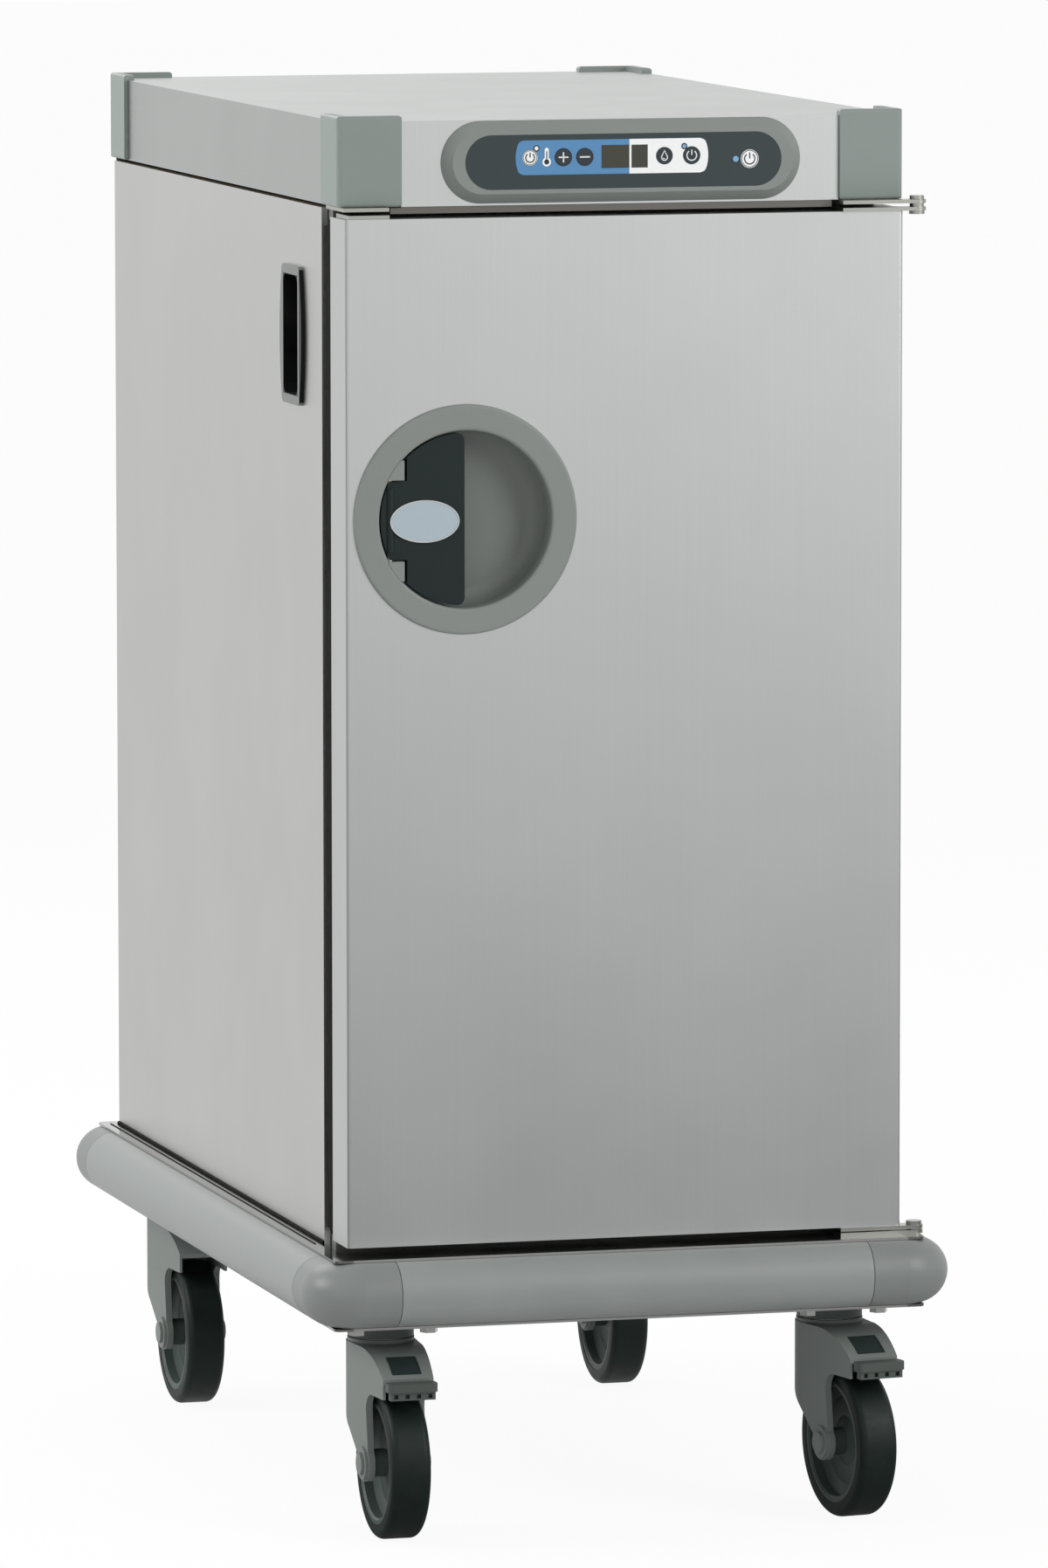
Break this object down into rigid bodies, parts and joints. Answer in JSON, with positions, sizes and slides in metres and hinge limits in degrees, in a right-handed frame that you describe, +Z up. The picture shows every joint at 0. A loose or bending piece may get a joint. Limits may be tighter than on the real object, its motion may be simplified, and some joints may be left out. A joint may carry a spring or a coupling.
{
  "type": "hot cupboard",
  "caption": "Mobile insulated hot cupboard: steel cabinet with pan racks, hinged door with recessed paddle latch, control fascia, bumper chassis and swivel casters.",
  "frame": {"origin": "on the floor, below the middle of the overall box", "axes": "+Z up, the door faces -Y, +X towards the hinges"},
  "size_m": [0.5474, 0.8892, 1.1616],
  "materials": {
    "brushed_panel": "vertical brushed",
    "bright_steel": "fine brushed",
    "zinc_steel": "plated",
    "grey_moulding": "fine matt",
    "grey_bumper": "satin",
    "fork_moulding": "satin",
    "hub_moulding": "satin",
    "tyre_rubber": "smooth rubber",
    "black_moulding": "fine matt",
    "gasket_rubber": "matt",
    "dark_overlay": "satin film",
    "display": "clear over dark",
    "dark_key": "satin film",
    "light_key": "satin film",
    "board": "solder mask",
    "wool": "matt fibre"
  },
  "bodies": {
    "cabinet": {"chassis": "bright_steel", "bumper_rails": "grey_bumper", "bumper_corners": "grey_bumper", "left_side_panel": "brushed_panel", "right_side_panel": "brushed_panel", "rear_panel": "brushed_panel", "inner_liner": "bright_steel", "front_frame": "grey_moulding", "insulation": "wool", "cap_base": "brushed_panel", "top_cover": "brushed_panel", "fascia_panel": "brushed_panel", "top_corner_blocks": "grey_moulding", "control_bezel": "grey_moulding", "control_overlay": "dark_overlay", "display_windows": "display", "controller_board": "board", "fan_motor": "black_moulding", "heating_element": "zinc_steel", "air_baffle": "bright_steel", "temperature_probe": "bright_steel", "cable_gland": "black_moulding", "left_rack": "bright_steel", "right_rack": "bright_steel", "side_grips": "black_moulding", "hinge_brackets": "zinc_steel", "striker_plate": "zinc_steel", "caster_plates": "zinc_steel", "caster_bolts": "zinc_steel"},
    "door": {"door_skin": "brushed_panel", "door_liner": "bright_steel", "door_insulation": "wool", "door_gasket": "gasket_rubber", "door_hinge_straps": "zinc_steel", "hinge_pins": "zinc_steel", "handle_bowl": "grey_moulding", "paddle_pin": "zinc_steel"},
    "paddle": {"latch_paddle": "black_moulding"},
    "hook": {"latch_hook": "zinc_steel"},
    "impeller": {"fan_impeller": "bright_steel"},
    "heat_button": {"heat_key": "light_key"},
    "plus_button": {"plus_key": "dark_key"},
    "minus_button": {"minus_key": "dark_key"},
    "humidity_button": {"humidity_key": "dark_key"},
    "timer_button": {"timer_key": "dark_key"},
    "mains_button": {"mains_key": "light_key"},
    "swivel_front_left": {"fork_front_left": "fork_moulding"},
    "wheel_front_left": {"hub_front_left": "hub_moulding", "tyre_front_left": "tyre_rubber"},
    "swivel_front_right": {"fork_front_right": "fork_moulding"},
    "wheel_front_right": {"hub_front_right": "hub_moulding", "tyre_front_right": "tyre_rubber"},
    "swivel_rear_left": {"fork_rear_left": "fork_moulding"},
    "wheel_rear_left": {"hub_rear_left": "hub_moulding", "tyre_rear_left": "tyre_rubber"},
    "swivel_rear_right": {"fork_rear_right": "fork_moulding"},
    "wheel_rear_right": {"hub_rear_right": "hub_moulding", "tyre_rear_right": "tyre_rubber"},
    "pedal_left": {"brake_pedal_left": "fork_moulding"},
    "pedal_right": {"brake_pedal_right": "fork_moulding"}
  },
  "joints": [
    {"name": "door_hinge", "type": "hinge", "parent": "cabinet", "child": "door", "pos_m": [0.248, -0.392, 0.661], "axis": [0, 0, 1], "range_deg": [0, 260]},
    {"name": "paddle_pivot", "type": "hinge", "parent": "door", "child": "paddle", "pos_m": [-0.1973, -0.392, 0.8353], "axis": [0, 0, -1], "range_deg": [0, 24], "stiffness_Nm_per_rad": 0.6},
    {"name": "hook_slide", "type": "slide", "parent": "door", "child": "hook", "axis": [1, 0, 0], "range_m": [0, 0.0122]},
    {"name": "fan_spin", "type": "hinge", "parent": "cabinet", "child": "impeller", "pos_m": [0, 0.055, 1.04], "axis": [0, 0, 1], "continuous": true},
    {"name": "heat_key_press", "type": "slide", "parent": "cabinet", "child": "heat_button", "axis": [0, 1, 0], "range_m": [0, 0.0006], "stiffness_N_per_m": 1500},
    {"name": "plus_key_press", "type": "slide", "parent": "cabinet", "child": "plus_button", "axis": [0, 1, 0], "range_m": [0, 0.0006], "stiffness_N_per_m": 1500},
    {"name": "minus_key_press", "type": "slide", "parent": "cabinet", "child": "minus_button", "axis": [0, 1, 0], "range_m": [0, 0.0006], "stiffness_N_per_m": 1500},
    {"name": "humidity_key_press", "type": "slide", "parent": "cabinet", "child": "humidity_button", "axis": [0, 1, 0], "range_m": [0, 0.0006], "stiffness_N_per_m": 1500},
    {"name": "timer_key_press", "type": "slide", "parent": "cabinet", "child": "timer_button", "axis": [0, 1, 0], "range_m": [0, 0.0006], "stiffness_N_per_m": 1500},
    {"name": "mains_key_press", "type": "slide", "parent": "cabinet", "child": "mains_button", "axis": [0, 1, 0], "range_m": [0, 0.0006], "stiffness_N_per_m": 1500},
    {"name": "swivel_front_left", "type": "hinge", "parent": "cabinet", "child": "swivel_front_left", "pos_m": [-0.192, -0.338, 0.0625], "axis": [0, 0, 1], "continuous": true},
    {"name": "spin_front_left", "type": "hinge", "parent": "swivel_front_left", "child": "wheel_front_left", "pos_m": [-0.192, -0.378, 0.0625], "axis": [1, 0, 0], "continuous": true},
    {"name": "brake_front_left", "type": "hinge", "parent": "swivel_front_left", "child": "pedal_left", "pos_m": [-0.192, -0.392, 0.135], "axis": [1, 0, 0], "range_deg": [0, 12]},
    {"name": "swivel_front_right", "type": "hinge", "parent": "cabinet", "child": "swivel_front_right", "pos_m": [0.192, -0.338, 0.0625], "axis": [0, 0, 1], "continuous": true},
    {"name": "spin_front_right", "type": "hinge", "parent": "swivel_front_right", "child": "wheel_front_right", "pos_m": [0.19722, -0.37766, 0.0625], "axis": [0.9914, 0.1305, 0], "continuous": true},
    {"name": "brake_front_right", "type": "hinge", "parent": "swivel_front_right", "child": "pedal_right", "pos_m": [0.19905, -0.39154, 0.135], "axis": [0.9914, 0.1305, 0], "range_deg": [0, 12]},
    {"name": "swivel_rear_left", "type": "hinge", "parent": "cabinet", "child": "swivel_rear_left", "pos_m": [-0.192, 0.359, 0.0625], "axis": [0, 0, 1], "continuous": true},
    {"name": "spin_rear_left", "type": "hinge", "parent": "swivel_rear_left", "child": "wheel_rear_left", "pos_m": [-0.192, 0.319, 0.0625], "axis": [1, 0, 0], "continuous": true},
    {"name": "swivel_rear_right", "type": "hinge", "parent": "cabinet", "child": "swivel_rear_right", "pos_m": [0.192, 0.359, 0.0625], "axis": [0, 0, 1], "continuous": true},
    {"name": "spin_rear_right", "type": "hinge", "parent": "swivel_rear_right", "child": "wheel_rear_right", "pos_m": [0.192, 0.319, 0.0625], "axis": [1, 0, 0], "continuous": true}
  ],
  "couplings": [
    {"joint": "hook_slide", "follows": "paddle_pivot", "m_per_rad": 0.02913}
  ]
}
